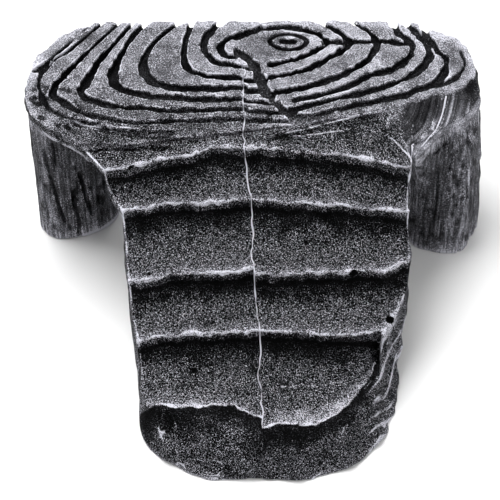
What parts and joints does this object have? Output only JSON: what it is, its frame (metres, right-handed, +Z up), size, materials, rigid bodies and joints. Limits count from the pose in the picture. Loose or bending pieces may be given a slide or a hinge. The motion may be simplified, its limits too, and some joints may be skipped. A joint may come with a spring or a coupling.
{
  "type": "resin cave ornament",
  "caption": "Tree-stump cave for a pond or aquarium: a growth-ring platform on bark legs with a stepped ramp to climb and a hollow to hide in.",
  "frame": {"origin": "on the floor under the middle of the whole object's box", "axes": "+Z up, the stair runs down towards -Y, +X to the right as seen from the stair"},
  "size_m": [0.1294, 0.118, 0.0554],
  "materials": {
    "ringed_resin": "matt charcoal paint, dry-brushed grey on the rings",
    "stair_resin": "matt near-black paint, rough, dry-brushed pale along each edge",
    "bark_resin": "matt charcoal paint, grooved like bark",
    "bare_resin": "pale, bare casting resin"
  },
  "bodies": {
    "root": {"platform_left_half": "ringed_resin", "platform_right_half": "ringed_resin", "stair_left_half": "stair_resin", "stair_right_half": "stair_resin", "left_leg": "bark_resin", "right_leg": "bark_resin", "left_leg_bond": "bare_resin", "right_leg_bond": "bare_resin", "seam_bead": "bare_resin"}
  },
  "joints": []
}
